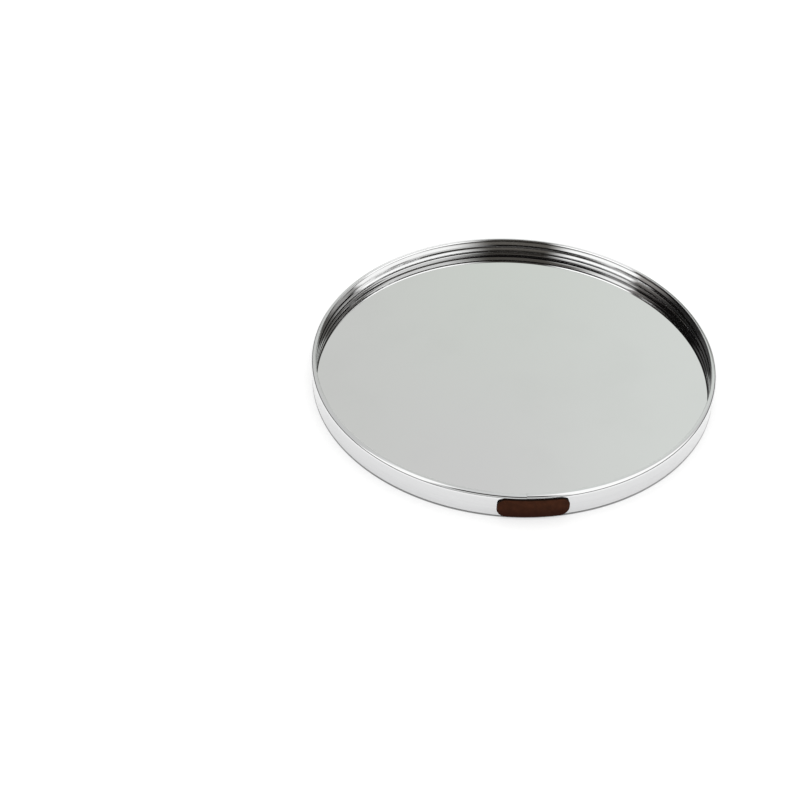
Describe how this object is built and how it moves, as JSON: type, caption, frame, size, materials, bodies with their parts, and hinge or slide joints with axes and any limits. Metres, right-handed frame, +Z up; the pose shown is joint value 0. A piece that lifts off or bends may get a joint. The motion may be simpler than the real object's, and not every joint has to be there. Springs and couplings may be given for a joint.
{
  "type": "decorative tray",
  "caption": "Round shallow tray with a polished aluminium rim, a mirrored base and a brown leather tag over the rim's seam, for standing candles, bottles and small things on.",
  "frame": {"origin": "on the table under the middle of the hoop", "axes": "+Z up along the hoop's axis, -Y towards the leather tag"},
  "size_m": [0.25, 0.2514, 0.017],
  "materials": {
    "rim_metal": "polished, with faint lines along the strip",
    "key_steel": "plain rolled spring steel",
    "mirror_glass": "silvered glass",
    "hardboard": "brown pressed hardboard",
    "tag_leather": "dark brown, fine grain, darker cut edge",
    "tape": "white double-sided tape",
    "pad_foam": "black foam rubber"
  },
  "bodies": {
    "root": {"rim_hoop": "rim_metal", "joint_key": "key_steel", "mirror_plate": "mirror_glass", "backing_board": "hardboard", "leather_tag": "tag_leather", "tag_tape": "tape", "foot_pad_1": "pad_foam", "foot_pad_2": "pad_foam", "foot_pad_3": "pad_foam", "foot_pad_4": "pad_foam"}
  },
  "joints": []
}
